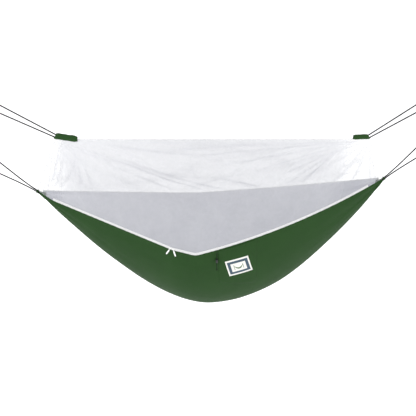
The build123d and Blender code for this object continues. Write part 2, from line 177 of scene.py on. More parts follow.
def noise_field(points, seed):
    """Smooth noise from -1 to 1 at an array of 3-D points."""
    flat = np.asarray(points, float).reshape(-1, 3)
    values = [noise.noise(Vector((p[0] + seed, p[1] - 0.7 * seed, p[2] + 0.3 * seed))) for p in flat]
    return np.array(values).reshape(np.asarray(points).shape[:-1])


def noise_over(a, b, seed, depth=0.0):
    """Smooth noise over two directions."""
    return noise_field(points_at(a, b, depth), seed)


def relief(x, angle):
    """How far the bed cloth stands off its smooth trough, in metres, outwards."""
    from_left, from_right = x + HALF_SPAN, HALF_SPAN - x
    room = np.minimum(1.0, rim_y(x) / 0.10)
    fan = np.zeros_like(x)
    for distance, count, seed in ((from_left, 15, 1.3), (from_right, 17, 7.9)):
        wander = noise_over(distance * 2.2, angle * 2.0, seed, seed)
        ridges = np.sin(count * angle + 3.4 * wander)
        tight = 0.0050 * np.exp(-((distance / 0.22) ** 1.2))
        long = 0.0016 * np.exp(-((distance / 0.75) ** 2))
        fan += (tight * ridges + long * np.sin(0.55 * count * angle + 4.2 * wander + seed)) * room
    broad = noise_over(x * 3.1, angle * 1.7, 3.0, 4.0)
    drag = noise_over(x * 7.0, angle * 9.0, 5.0, 2.0)
    rim = np.minimum(angle, math.pi - angle)
    fan *= 0.15 + 0.85 * smooth(0.0, 0.12, rim)
    pucker = np.sin(x * 150 + 5 * noise_over(x * 9, x * 0, 8.0))
    pucker = 0.0011 * pucker * np.exp(-((rim / 0.07) ** 2)) * room
    middle = smooth(0.0, 0.25, rim_y(x))
    return fan + (0.0050 * broad + 0.0012 * drag) * middle * smooth(0, 0.18, rim) + pucker


def trough(x, angle, outset=0.0):
    """Points on the bed: angle 0 at the near rim, pi at the far one."""
    give = WALL_GIVE * np.sin(angle)
    a = rim_y(x, give)
    b = rim_z(x, give) - keel_z(x)
    normal_y, normal_z = -np.cos(angle) * b, -np.sin(angle) * a
    length = np.hypot(normal_y, normal_z)
    off = relief(x, angle) + outset
    y = -a * np.cos(angle) + off * normal_y / length
    z = rim_z(x, give) - b * np.sin(angle) + off * normal_z / length
    return points_at(x, y, z)


# ---------------------------------------------------------------- mesh helpers


def new_object(name, mesh):
    obj = bpy.data.objects.new(name, mesh)
    bpy.context.scene.collection.objects.link(obj)
    return obj


def ride_hammock(obj):
    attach(obj, "hammock")


def piece(name, mesh, material, replaced=(), ride=ride_hammock):
    """One named object of the scene, its mesh named after it."""
    mesh.name = name
    obj = new_object(name, mesh)
    mesh.materials.append(material)
    ride(obj)
    if replaced:
        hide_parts(*replaced)
    return obj


def mesh_from(points, faces, uvs=None, fold=None):
    mesh = bpy.data.meshes.new("mesh")
    mesh.from_pydata([tuple(p) for p in points], [], [tuple(f) for f in faces])
    if uvs is not None:
        layer = mesh.uv_layers.new(name="metres")
        loops = np.empty(len(mesh.loops), np.int32)
        mesh.loops.foreach_get("vertex_index", loops)
        layer.data.foreach_set("uv", np.asarray(uvs, np.float32)[loops].ravel())
    if fold is not None:
        layer = mesh.attributes.new("fold", "FLOAT", "POINT")
        layer.data.foreach_set("value", np.asarray(fold, np.float32).ravel())
    mesh.polygons.foreach_set("use_smooth", [True] * len(mesh.polygons))
    mesh.update()
    return mesh


def grid_faces(rows, columns, wrap=False):
    """Quads of a rows x columns grid of points, closed along the columns if wrap is set."""
    i, j = np.meshgrid(np.arange(rows - 1), np.arange(columns if wrap else columns - 1), indexing="ij")
    k = (j + 1) % columns
    quads = [i * columns + j, i * columns + k, (i + 1) * columns + k, (i + 1) * columns + j]
    return np.stack(quads, -1).reshape(-1, 4)


def path_lengths(points, axis):
    steps = np.linalg.norm(np.diff(points, axis=axis), axis=-1)
    pad = [(0, 0)] * steps.ndim
    pad[axis] = (1, 0)
    return np.cumsum(np.pad(steps, pad), axis=axis)


def cloth_grid(points, fold=None, thickness=0.0006):
    """A sheet of cloth from a grid of points, with UVs in metres of cloth, given a little thickness."""
    rows, columns = points.shape[:2]
    along = path_lengths(points, 0)[:, columns // 2]
    across = path_lengths(points, 1)
    uvs = np.stack([np.repeat(along[:, None], columns, 1), across], -1)
    normals = np.cross(np.gradient(points, axis=0), np.gradient(points, axis=1))
    normals /= np.maximum(np.linalg.norm(normals, axis=-1, keepdims=True), 1e-12)
    if not thickness:
        flat_fold = None if fold is None else fold.ravel()
        faces = grid_faces(rows, columns)[:, ::-1]
        return mesh_from(points.reshape(-1, 3), faces, uvs.reshape(-1, 2), flat_fold)
    front = (points + normals * thickness / 2).reshape(-1, 3)
    back = (points - normals * thickness / 2).reshape(-1, 3)
    count = rows * columns
    sheet = grid_faces(rows, columns)
    index = np.arange(count).reshape(rows, columns)
    loop = np.concatenate([index[0, :-1], index[:-1, -1], index[-1, :0:-1], index[:0:-1, 0]])
    after = np.roll(loop, -1)
    rim = np.stack([loop, loop + count, after + count, after], -1)
    faces = np.concatenate([sheet[:, ::-1], sheet + count, rim[:, ::-1]])
    both = np.concatenate([uvs.reshape(-1, 2)] * 2)
    folds = None if fold is None else np.concatenate([fold.ravel()] * 2)
    return mesh_from(np.concatenate([front, back]), faces, both, folds)


def frames_along(points):
    """Tangent and two cross directions at each point, turning as little as possible."""
    tangents = unit(np.gradient(points, axis=0))
    side = np.cross(tangents[0], [0, 0, 1.0])
    if np.linalg.norm(side) < 1e-3:
        side = np.cross(tangents[0], [0, 1.0, 0])
    sides = []
    for t in tangents:
        side = side - t * side.dot(t)
        side = side / np.linalg.norm(side)
        sides.append(side)
    sides = np.array(sides)
    return tangents, sides, np.cross(tangents, sides)


def resample(points, step):
    lengths = path_lengths(points, 0)
    count = max(2, int(round(lengths[-1] / step)) + 1)
    at = np.linspace(0, lengths[-1], count)
    return values_at(at, lengths, points)


def tube_mesh(points, radius, sides=8, braid=0.0, pitch=0.012, carriers=8):
    """Closed tube round a line of points; braid raises crossing strands on its skin."""
    lengths = path_lengths(points, 0)
    _, right, up = frames_along(points)
    turn = around(sides)[None, :]
    phase = (2 * math.pi * lengths / pitch)[:, None]
    weave = np.sin(carriers / 2 * turn + phase) * np.sin(carriers / 2 * turn - phase)
    radii = (radius * (1 - braid + braid * np.abs(weave)))[..., None]
    ring = np.cos(turn)[..., None] * right[:, None] + np.sin(turn)[..., None] * up[:, None]
    skin = points[:, None] + ring * radii
    uvs = np.stack([np.repeat(lengths[:, None], sides, 1), turn.repeat(len(points), 0) * radius], -1)
    rows = len(points)
    all_points = np.concatenate([skin.reshape(-1, 3), points[:1], points[-1:]])
    all_uvs = np.concatenate([uvs.reshape(-1, 2), [[0, 0], [lengths[-1], 0]]])
    quads = [tuple(f) for f in grid_faces(rows, sides, wrap=True)[:, ::-1]]
    first, last = rows * sides, rows * sides + 1
    caps = [(first, k, (k + 1) % sides) for k in range(sides)]
    base = (rows - 1) * sides
    caps += [(last, base + (k + 1) % sides, base + k) for k in range(sides)]
    return mesh_from(all_points, quads + [c[::-1] for c in caps], all_uvs)


def nurbs_line(name, points):
    """The smooth line of a route: its points, as control points of one open spline."""
    data = bpy.data.curves.new(name, "CURVE")
    data.dimensions = "3D"
    data.resolution_u = 24
    spline = data.splines.new("NURBS")
    spline.points.add(len(points) - 1)
    for control, p in zip(spline.points, points):
        control.co = (*p, 1.0)
    spline.order_u = 3
    spline.use_endpoint_u = True
    return new_object(name, data)


def line_points(route_name, route):
    """Points along a route's own spline, as Blender evaluates it."""
    curve = nurbs_line(route_name, route)
    bpy.context.view_layer.update()
    flat = bpy.data.meshes.new_from_object(curve)
    points = np.array([v.co[:] for v in flat.vertices])
    bpy.data.objects.remove(curve)
    bpy.data.meshes.remove(flat)
    return points


def stitches(line, normals, length=0.0035, gap=0.0025, width=0.0007, height=0.0004):
    """A row of small raised thread stitches along a line of points."""
    at = path_lengths(line, 0)
    starts = np.arange(gap, at[-1] - length - gap, length + gap)
    points, faces = [], []

    def place(s):
        n = values_at(s, at, normals)
        return values_at(s, at, line), n / np.linalg.norm(n)

    for s in starts:
        a, n = place(s)
        b, _ = place(s + length)
        along = (b - a) / np.linalg.norm(b - a)
        side = np.cross(n, along)
        base = len(points)
        for share, scale in ((0.0, 0.35), (0.22, 1.0), (0.78, 1.0), (1.0, 0.35)):
            p = a + (b - a) * share
            lift = n * height * (1.0 if 0 < share < 1 else 0.2)
            points += [p - side * width * scale / 2, p + lift, p + side * width * scale / 2, p - n * 0.0004]
        for k in range(3):
            for q in range(4):
                one, two = base + 4 * k + q, base + 4 * k + (q + 1) % 4
                faces.append((one, one + 4, two + 4, two))
        faces.append((base, base + 1, base + 2, base + 3))
        faces.append((base + 15, base + 14, base + 13, base + 12))
    return mesh_from(points, faces)


# ---------------------------------------------------------------- materials


def new_material(name):
    material = bpy.data.materials.new(name)
    material.use_nodes = True
    tree = material.node_tree
    tree.nodes.clear()
    return material, tree


def add(tree, kind, settings=None, **inputs):
    """A node with its properties and inputs; an input may be a value or another node's socket."""
    node = tree.nodes.new(kind)
    for key, value in (settings or {}).items():
        setattr(node, key, value)
    for key, value in inputs.items():
        socket = node.inputs[int(key[1:])] if key[1:].isdigit() else node.inputs[key.replace("_", " ")]
        if isinstance(value, bpy.types.NodeSocket):
            tree.links.new(value, socket)
        else:
            socket.default_value = value
    return node


def metres(tree, rotation=0.0):
    """The cloth's own UVs, in metres, turned if the threads run aslant."""
    uv = add(tree, "ShaderNodeUVMap", {"uv_map": "metres"})
    return add(tree, "ShaderNodeMapping", Vector=uv.outputs[0], Rotation=(0, 0, rotation)).outputs[0]


def bands(tree, vector, period, direction, profile="SIN"):
    """Stripes of a period in metres across one UV direction, from 0 to 1."""
    kind = {"wave_type": "BANDS", "bands_direction": direction, "wave_profile": profile}
    wave = add(tree, "ShaderNodeTexWave", kind, Vector=vector, Scale=math.pi / 10 / period)
    return wave.outputs["Fac"]


def maths(tree, operation, a, b=0.0, clamp=False):
    return add(tree, "ShaderNodeMath", {"operation": operation, "use_clamp": clamp}, _0=a, _1=b).outputs[0]


def scaled(tree, value, share, base):
    """A share of a value on top of a base."""
    return maths(tree, "ADD", maths(tree, "MULTIPLY", value, share), base)


def times(colour, share):
    """A colour made darker or lighter."""
    return tuple(share * c for c in colour)


def speckle(tree, scale, detail=3.0, roughness=0.55):
    where = add(tree, "ShaderNodeTexCoord").outputs["Object"]
    cloud = add(tree, "ShaderNodeTexNoise", Vector=where, Scale=scale, Detail=detail, Roughness=roughness)
    return cloud.outputs["Fac"]


def mix_colours(tree, share, one, two):
    node = add(tree, "ShaderNodeMix", {"data_type": "RGBA"})
    for index, value in ((0, share), (6, one), (7, two)):
        socket = node.inputs[index]
        if isinstance(value, bpy.types.NodeSocket):
            tree.links.new(value, socket)
        else:
            socket.default_value = value if index == 0 else (*value, 1.0)
    return node.outputs[2]


def bumped(tree, strength, distance, height):
    return add(tree, "ShaderNodeBump", Strength=strength, Distance=distance, Height=height).outputs[0]


def surface(tree, **inputs):
    shader = add(tree, "ShaderNodeBsdfPrincipled", **inputs)
    add(tree, "ShaderNodeOutputMaterial", Surface=shader.outputs[0])


def woven_cloth(name, light, dark, thread, grid=0.0, roughness=0.70, specular=0.12, bump=0.5, wear=0.35):
    """Plain-woven cloth: threads both ways, an optional ripstop grid, and soft large-scale variation."""
    material, tree = new_material(name)
    uv = metres(tree)
    warp = bands(tree, uv, thread, "X")
    weft = bands(tree, uv, thread, "Y")
    weave = maths(tree, "MULTIPLY", warp, weft)
    height = maths(tree, "MULTIPLY", weave, 0.5)
    clouds = speckle(tree, 5.0)
    fine = speckle(tree, 42.0, 4.0)
    tone = maths(tree, "ADD", maths(tree, "MULTIPLY", clouds, 0.65), maths(tree, "MULTIPLY", fine, wear))
    colour = mix_colours(tree, maths(tree, "SUBTRACT", tone, 0.12, True), dark, light)
    if grid:
        lines = [
            maths(tree, "GREATER_THAN", bands(tree, uv, grid, direction), 0.975) for direction in ("X", "Y")
        ]
        ripstop = maths(tree, "MAXIMUM", *lines)
        height = maths(tree, "ADD", height, maths(tree, "MULTIPLY", ripstop, 0.9))
        raised = maths(tree, "MULTIPLY", ripstop, 0.16)
        colour = mix_colours(tree, raised, colour, times(light, 1.35))
    normal = bumped(tree, bump, 0.0005, height)
    rough = scaled(tree, fine, 0.16, roughness - 0.08)
    surface(tree, Base_Color=colour, Roughness=rough, Normal=normal, Specular_IOR_Level=specular)
    return material


def insect_net(name):
    """Fine mesh: mostly open, denser where it is folded, with a visible weave up close. Its plain colour is
    the white net darkened to a painted shade, and its folds are painted a lighter white as a painted
    highlight of light shining through.
    """
    material, tree = new_material(name)
    uv = metres(tree)
    hole = 0.0012
    warp = bands(tree, uv, hole, "X")
    weft = bands(tree, uv, hole, "Y")
    threads = maths(tree, "MAXIMUM", warp, weft)
    fold = add(tree, "ShaderNodeAttribute", {"attribute_name": "fold"}).outputs["Fac"]
    cloud = speckle(tree, 9.0, 4.0, 0.6)
    grain = speckle(tree, 60.0, 3.0, 0.6)
    cover = scaled(tree, threads, 0.10, NET_COVER - 0.05)
    cover = maths(tree, "ADD", cover, maths(tree, "MULTIPLY", fold, 0.60))
    for spots, share, clamp in ((cloud, 0.16, False), (grain, 0.05, True)):
        uneven = maths(tree, "MULTIPLY", maths(tree, "SUBTRACT", spots, 0.5), share)
        cover = maths(tree, "ADD", cover, uneven, clamp)
    normal = bumped(tree, 0.25, 0.0004, threads)
    # Painted shade and painted highlight: the net's own white is darkened to grey in open stretches and
    # lightened to near white along folds, standing in for light shining through doubled net.
    colour = mix_colours(tree, maths(tree, "MULTIPLY", fold, 1.4, True), NET_SHADED_COLOUR, FOLD_HIGHLIGHT_COLOUR)
    surface(
        tree, Base_Color=colour, Roughness=0.6, Specular_IOR_Level=0.25,
        Normal=normal, Alpha=cover, Sheen_Weight=0.03,
    )
    return material


def moulded(name, colour, roughness=0.38, grain=260.0):
    """Moulded plastic with a fine texture and slight unevenness."""
    material, tree = new_material(name)
    fine = speckle(tree, grain, 4.0)
    soft = speckle(tree, 30.0)
    normal = bumped(tree, 0.15, 0.0003, fine)
    tone = mix_colours(tree, soft, times(colour, 0.86), colour)
    rough = scaled(tree, fine, 0.18, roughness - 0.09)
    surface(tree, Base_Color=tone, Roughness=rough, Normal=normal, Coat_Weight=0.05)
    return material


def braided(name, colour):
    """Braided cord: the strands are in the mesh, the fibres are here."""
    material, tree = new_material(name)
    uv = metres(tree, 0.6)
    fibres = bands(tree, uv, 0.0007, "X")
    fine = speckle(tree, 300.0, 3.0)
    tone = mix_colours(tree, maths(tree, "MULTIPLY", fine, 0.8), times(colour, 0.6), times(colour, 1.6))
    normal = bumped(tree, 0.4, 0.0003, fibres)
    surface(tree, Base_Color=tone, Roughness=0.80, Normal=normal, Specular_IOR_Level=0.15)
    return material


def steel(name):
    material, tree = new_material(name)
    fine = speckle(tree, 500.0)
    rough = scaled(tree, fine, 0.2, 0.25)
    surface(tree, Base_Color=(0.6, 0.6, 0.6, 1), Metallic=1.0, Roughness=rough)
    return material


# The net is white cloth: this grey is painted shade, and the near-white fold colour is a painted highlight of
# light shining through its folds.
NET_SHADED_COLOUR = (0.53, 0.535, 0.555)
FOLD_HIGHLIGHT_COLOUR = (0.96, 0.96, 0.98)
NET_COVER = 0.46
GREEN_LIGHT, GREEN_DARK = (0.0205, 0.0615, 0.0142), (0.0128, 0.0412, 0.0094)
SHELL = woven_cloth("ripstop_green", GREEN_LIGHT, GREEN_DARK, 0.0006, grid=0.006)
LINING = woven_cloth("lining_grey", (0.67, 0.675, 0.725), (0.59, 0.595, 0.645), 0.0006, grid=0.006, bump=0.3)
NET = insect_net("insect_net")
TAPE = woven_cloth("zip_tape_white", (0.80, 0.80, 0.79), (0.69, 0.69, 0.69), 0.0009, bump=0.6, wear=0.5)
THREAD_WHITE = woven_cloth("thread_white", (0.74, 0.74, 0.74), (0.62, 0.62, 0.62), 0.0005)
THREAD_GREEN = woven_cloth("thread_green", (0.075, 0.150, 0.060), (0.055, 0.115, 0.045), 0.0005)
COIL = moulded("coil_white", (0.86, 0.86, 0.86), 0.32)
PULL = moulded("pull_white", (0.88, 0.88, 0.87), 0.40)
BLACK_PLASTIC = moulded("lock_black", (0.014, 0.014, 0.015), 0.42)
ROPE = braided("rope_black", (0.007, 0.007, 0.008))
STEEL = steel("spring_steel")
LABEL_WHITE = woven_cloth("label_white", (0.74, 0.735, 0.70), (0.67, 0.665, 0.63), 0.0004, bump=0.3)
LABEL_SLATE = woven_cloth("label_slate", (0.070, 0.102, 0.135), (0.049, 0.078, 0.106), 0.0004, bump=0.3)


# ---------------------------------------------------------------- camera, lights and floor


CAMERA_ELEVATION = math.radians(24.0)
CAMERA_DISTANCE = 5.0


def make_camera():
    """Looks along +Y from a little above, aimed at the middle of the line between the gathers."""
    data = bpy.data.cameras.new("camera")
    camera = new_object("camera", data)
    aim = Vector((0, 0, AXIS_HEIGHT))
    back = Vector((0, -math.cos(CAMERA_ELEVATION), math.sin(CAMERA_ELEVATION)))
    camera.location = aim + back * CAMERA_DISTANCE
    camera.rotation_mode = "QUATERNION"
    camera.rotation_quaternion = (-back).to_track_quat("-Z", "Y")
    data.lens = 62.6
    data.sensor_width = 36.0
    data.shift_x = -0.005
    data.shift_y = -0.057
    bpy.context.scene.camera = camera


def area_light(name, location, aim, size, power, colour=(1, 1, 1)):
    data = bpy.data.lights.new(name, "AREA")
    data.shape = "RECTANGLE"
    data.size, data.size_y = size
    data.energy = power
    data.color = colour
    lamp = new_object(name, data)
    lamp.location = location
    lamp.rotation_mode = "QUATERNION"
    lamp.rotation_quaternion = (Vector(aim) - Vector(location)).to_track_quat("-Z", "Y")


def make_studio():
    world = bpy.data.worlds.new("studio")
    bpy.context.scene.world = world
    world.use_nodes = True
    background = world.node_tree.nodes["Background"]
    background.inputs["Color"].default_value = (0.98, 0.985, 1.0, 1)
    background.inputs["Strength"].default_value = 0.78
    area_light("key", (-2.2, -3.4, 3.6), (0, 0, 0.6), (2.6, 2.0), 104)
    area_light("fill", (3.0, -2.6, 2.2), (0, 0, 0.6), (2.4, 2.0), 40)
    area_light("back", (0.4, 3.2, 3.4), (0, 0, 0.9), (3.2, 1.6), 62)
    side, height = 30.0, -0.55
    corners = [(-side, -side, height), (side, -side, height), (side, side, height), (-side, side, height)]
    floor = new_object("studio_floor", mesh_from(corners, [(0, 1, 2, 3)]))
    material, tree = new_material("studio_floor")
    surface(
        tree, Base_Color=(0.97, 0.97, 0.97, 1), Roughness=0.9,
        Emission_Color=(1, 1, 1, 1), Emission_Strength=0.50,
    )
    floor.data.materials.append(material)


make_camera()
make_studio()
bpy.context.scene.view_settings.view_transform = "Standard"


# ---------------------------------------------------------------- ropes and drawcord


def hung_route(side, start, rise, half_gap, twist, reach, loop_radius):
    """A doubled rope's control points: out along one strand, round its loop and back."""
    rise = math.radians(rise)
    out = Vector((side * math.cos(rise), 0, math.sin(rise)))
    tilt = math.radians(LOOP_TILT)
    spread = Vector((0, math.cos(tilt), math.sin(tilt)))
    spread = (spread - out * spread.dot(out)).normalized()
    flare = math.asin((loop_radius - half_gap) / (reach - twist))
    turn = (math.pi + 2 * flare) / 3
    corner = loop_radius / math.cos(turn / 2)
    outward = [(half_gap, 0.0)]
    if twist:
        outward.append((half_gap, twist))
    loop_corner = Vector((corner * math.sin(turn), reach + corner * math.cos(turn)))
    run = loop_corner - Vector(outward[-1])
    outward.append(tuple(loop_corner - run.normalized() * NEAR_LOOP))
    outward.append(tuple(loop_corner))
    back = [(-gap, along) for gap, along in reversed(outward)]
    flat = [*outward, (0.0, reach + corner), *back]
    return [Vector(start) + spread * gap + out * along for gap, along in flat]


def gather_start(side, rise):
    x = side * (GATHER_TIP_X - GATHER_RADIUS * math.sin(math.radians(rise)))
    return (x, 0, float(axis_z(side * HALF_SPAN)))


# Side, start, rise in degrees, half the gap between strands, straight twist, reach, loop radius, length.
ROPES = {
    "bed_rope_left": (-1, gather_start(-1, 35.4), 35.4, 0.0050, 0.065, 0.330, 0.040, 0.790),
    "bed_rope_right": (1, gather_start(1, 42.6), 42.6, 0.0050, 0.065, 0.350, 0.040, 0.830),
    "net_rope_left": (-1, (-1.040, 0, RIDGE_Z + 0.023), 28.1, 0.010, 0.0, 0.435, 0.028, 0.959),
    "net_rope_right": (1, (1.066, 0, RIDGE_Z + 0.019), 33.3, 0.010, 0.0, 0.435, 0.028, 0.959),
}


def make_ropes():
    for name, (*shape, length) in ROPES.items():
        route = hung_route(*shape)
        line = resample(line_points(name, route), 0.0016)
        mesh = tube_mesh(line, ROPE_DIAMETER / 2, 20, braid=0.16, pitch=0.020, carriers=10)
        rope = piece(f"{name}_braid", mesh, ROPE, [name])


DRAWCORD_DIAMETER = 0.0045
KNOT_SIZE = 0.0019
KNOT_STRAND = 0.00165


def make_drawcord():
    low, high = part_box("pocket_drawcord")
    x, y = (low[0] + high[0]) / 2, (low[1] + high[1]) / 2
    top, bottom = high[2], low[2]
    line = points_at(x, y, np.linspace(top, bottom, 60))
    mesh = tube_mesh(line, DRAWCORD_DIAMETER / 2, 12, braid=0.14, pitch=0.011, carriers=8)
    cord = piece("drawcord_braid", mesh, ROPE, ["pocket_drawcord"])
    t = np.linspace(0, 2 * math.pi, 90)
    knot_line = points_at(
        x + KNOT_SIZE * (np.sin(t) + 1.25 * np.sin(2 * t)) * 0.8,
        y + KNOT_SIZE * (np.cos(t) - 1.25 * np.cos(2 * t)) * 0.8,
        bottom - 0.0042 - KNOT_SIZE * 0.8 * np.sin(3 * t),
    )
    knot_mesh = tube_mesh(knot_line, KNOT_STRAND, 10)
    knot = piece("drawcord_overhand_knot", knot_mesh, ROPE, ["drawcord_knot"])


make_ropes()
make_drawcord()


# ---------------------------------------------------------------- bed


def swept(rings, caps=True):
    """Closed skin through rings of points, the rings' own ends capped flat."""
    rows, columns = rings.shape[:2]
    along = path_lengths(rings, 0)[:, :1].repeat(columns, 1)
    around = path_lengths(rings, 1)
    uvs = np.stack([along, around], -1).reshape(-1, 2)
    faces = [tuple(f) for f in grid_faces(rows, columns, wrap=True)]
    if caps:
        last = (rows - 1) * columns
        faces += [tuple(range(columns))[::-1], tuple(range(last, last + columns))]
    mesh = mesh_from(rings.reshape(-1, 3), faces, uvs)
    edit = bmesh.new()
    edit.from_mesh(mesh)
    bmesh.ops.remove_doubles(edit, verts=edit.verts, dist=1e-7)
    bmesh.ops.recalc_face_normals(edit, faces=edit.faces)
    edit.to_mesh(mesh)
    edit.free()
    return mesh


def trough_grid(xs, angles, outset):
    x, angle = np.meshgrid(xs, angles, indexing="ij")
    return trough(x, angle, outset)


def wall_line(xs, below, outset):
    """Points and outward directions along the near wall, a distance in metres below the rim."""
    angles = below / (rim_z(xs) - keel_z(xs))
    inner, outer = trough(xs, angles, outset), trough(xs, angles, outset + 0.001)
    return inner, outer - inner


SHELL_THICK, LINING_THICK = 0.0008, 0.0006
LINING_OUTSET = -0.0026
RIM_SEAMS = (0.004, 0.012)
PIPING_RADIUS = 0.0014


def make_bed():
    xs = np.linspace(-BED_END_X, BED_END_X, 430)
    angles = np.linspace(0, math.pi, 170)
    shell_mesh = cloth_grid(trough_grid(xs, angles, -SHELL_THICK / 2), thickness=SHELL_THICK)
    shell = piece("bed_shell_cloth", shell_mesh, SHELL, ["bed_shell"])
    lining_mesh = cloth_grid(trough_grid(xs[::2], angles, LINING_OUTSET), thickness=LINING_THICK)
    lining = piece("bed_lining_cloth", lining_mesh, LINING, ["bed_lining"])
    hem_xs = np.linspace(-BED_END_X, BED_END_X, 900)
    for row, below in enumerate(RIM_SEAMS):
        line, normals = wall_line(hem_xs, below, 0.0002)
        piece(f"rim_stitching_{row + 1}", stitches(line, normals), THREAD_GREEN)
    edge = trough(hem_xs[::2], np.zeros(450), -0.0006)
    piping = tube_mesh(edge, PIPING_RADIUS, 10)
    piece("rim_piping", piping, SHELL)


# ---------------------------------------------------------------- zip

HEM_LIP = 0.0038
LOWER_TAPE = 0.007
COIL_WIDTH = 0.004
DOOR_GAP = 0.0004
UPPER_TAPE = 0.008
COIL_END_X = 1.072
COIL_PITCH = 0.0021
COIL_HALF_WIDTH, COIL_HALF_HEIGHT, COIL_WIRE = 0.0016, 0.0011, 0.00042
DOOR_HEM = LOWER_TAPE + COIL_WIDTH + DOOR_GAP
TAPE_THICK = 0.0009
TAPE_RIPPLE = 0.0003
SEAM_RISE = 0.0006


def zip_points(x, inward, upward):
    """Points in the rim's sloping plane, by their distance in from the rim and up off the plane."""
    y = -rim_y(x) + HEM_LIP / 2 + math.cos(RIM_SLOPE) * inward - math.sin(RIM_SLOPE) * upward
    z = rim_z(x) + math.sin(RIM_SLOPE) * inward + math.cos(RIM_SLOPE) * upward
    return points_at(x, y, z)


def tape_grid(xs, start, end, ripple):
    x, inward = np.meshgrid(xs, np.linspace(start, end, 8), indexing="ij")
    wave = noise_over(x * 16, inward * 0, 11.0)
    return zip_points(x, inward, ripple * wave)


def ride_door(obj):
    """The door's cloth hangs from the ridge; its placement is baked into its mesh."""
    hem = zip_points(np.array(VERTEX_X), DOOR_HEM, 0.0)
    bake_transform(obj)


def coil_mesh(start, end):
    """Two flattened spirals that interlock along the middle of the zip."""
    turns = int((end - start) / COIL_PITCH)
    t = np.linspace(0, turns, turns * 10 + 1)
    x = start + (end - start) * t / turns
    angle = 2 * math.pi * t
    middle = LOWER_TAPE + COIL_WIDTH / 2
    line = zip_points(x, middle + COIL_HALF_WIDTH * np.cos(angle), COIL_HALF_HEIGHT * np.sin(angle))
    _, right, up = frames_along(line)
    turn = around(5)
    ring = np.cos(turn)[None, :, None] * right[:, None] + np.sin(turn)[None, :, None] * up[:, None]
    return swept(line[:, None] + COIL_WIRE * ring)


def seam_rows(title, xs, places, ride):
    """Rows of white stitches along the zip's tapes."""
    normals = np.tile([0.0, -math.sin(RIM_SLOPE), math.cos(RIM_SLOPE)], (len(xs), 1))
    rows = []
    for k, at in enumerate(places):
        mesh = stitches(zip_points(xs, at, SEAM_RISE), normals)
        rows.append(piece(f"{title}_{k + 1}", mesh, THREAD_WHITE, ride=ride))
    return rows


def make_zip():
    xs = np.linspace(-ZIP_END_X, ZIP_END_X, 520)
    grid = tape_grid(xs, -0.0016, LOWER_TAPE + 0.0008, TAPE_RIPPLE)
    lower = cloth_grid(grid, thickness=TAPE_THICK)
    lower = piece("zipper_lower_tape_cloth", lower, TAPE, ["zipper_lower_tape"])
    seam_xs = np.linspace(-ZIP_END_X + 0.004, ZIP_END_X - 0.004, 900)
    rows = seam_rows("lower_tape_stitching", seam_xs, (0.0008, 0.0048), ride_hammock)
    coil = coil_mesh(-COIL_END_X, COIL_END_X)
    piece("zipper_coil_teeth", coil, COIL, ["zipper_coil"])
    grid = tape_grid(xs, DOOR_HEM - 0.0012, DOOR_HEM + UPPER_TAPE, TAPE_RIPPLE)
    upper = cloth_grid(grid, thickness=TAPE_THICK)
    upper = piece("net_door_tape_cloth", upper, TAPE, ["net_door_tape"], ride_door)
    rows = seam_rows("door_tape_stitching", seam_xs, (DOOR_HEM + 0.0030, DOOR_HEM + 0.0066), ride_door)


# ---------------------------------------------------------------- net

NET_END_X = 1.192
NET_STEP = 0.0066

# Creases of the net by place along x and share of the way down from the ridge, with width and height.
FAR_FOLDS = (
    (((-1.00, 0.06), (-1.05, 0.40), (-1.11, 0.75)), 0.012, 0.010),
    (((-0.99, 0.05), (-1.02, 0.50), (-1.10, 0.92)), 0.010, 0.010),
    (((-0.95, 0.12), (-0.94, 0.50), (-1.06, 0.93)), 0.012, 0.011),
    (((-0.93, 0.16), (-0.91, 0.60), (-0.93, 0.97)), 0.011, 0.008),
    (((-0.90, 0.22), (-0.86, 0.62), (-0.84, 0.97)), 0.012, 0.006),
    (((-0.98, 0.10), (-0.83, 0.26), (-0.66, 0.41)), 0.012, 0.007),
    (((-0.66, 0.36), (-0.36, 0.66), (-0.02, 0.99)), 0.010, 0.010),
    (((-0.62, 0.32), (-0.33, 0.60), (0.06, 0.97)), 0.009, 0.009),
    (((-0.66, 0.48), (-0.46, 0.72), (-0.24, 0.98)), 0.009, 0.009),
    (((1.00, 0.05), (0.60, 0.09), (-0.35, 0.17)), 0.013, 0.008),
    (((0.98, 0.08), (0.55, 0.16), (-0.20, 0.30)), 0.011, 0.008),
    (((0.96, 0.10), (0.60, 0.25), (0.05, 0.48)), 0.012, 0.009),
    (((0.94, 0.12), (0.62, 0.36), (0.30, 0.62)), 0.010, 0.009),
    (((0.93, 0.16), (0.72, 0.44), (0.50, 0.74)), 0.010, 0.010),
    (((0.90, 0.22), (0.74, 0.52), (0.56, 0.97)), 0.011, 0.010),
    (((0.86, 0.28), (0.76, 0.60), (0.66, 0.97)), 0.011, 0.009),
    (((0.02, 0.70), (0.20, 0.82), (0.40, 0.98)), 0.010, 0.009),
    (((-0.12, 0.80), (-0.02, 0.88), (0.12, 0.99)), 0.010, 0.008),
    (((-0.40, 0.04), (0.05, 0.10), (0.50, 0.07)), 0.012, 0.006),
    (((-0.70, 0.10), (-0.30, 0.22), (0.20, 0.24)), 0.014, 0.005),
)
NEAR_FOLDS = (
    (((-1.00, 0.03), (-1.00, 0.45), (-1.03, 0.90)), 0.018, 0.007),
    (((-0.97, 0.02), (-0.70, 0.30), (-0.50, 0.70)), 0.016, 0.005),
    (((-0.92, 0.02), (-0.45, 0.25), (-0.15, 0.75)), 0.015, 0.004),
    (((1.00, 0.02), (0.80, 0.35), (0.72, 0.85)), 0.016, 0.007),
    (((0.97, 0.02), (0.58, 0.30), (0.38, 0.80)), 0.015, 0.005),
    (((0.94, 0.02), (0.35, 0.20), (0.00, 0.60)), 0.014, 0.004),
)


def smooth_line(points, count=10):
    """The one smooth curve through a few points."""
    t = np.linspace(0, 1, len(points))
    fits = np.polyfit(t, np.array(points), len(points) - 1)
    return [tuple(np.polyval(fits[:, k], s) for k in range(2)) for s in np.linspace(0, 1, count)]


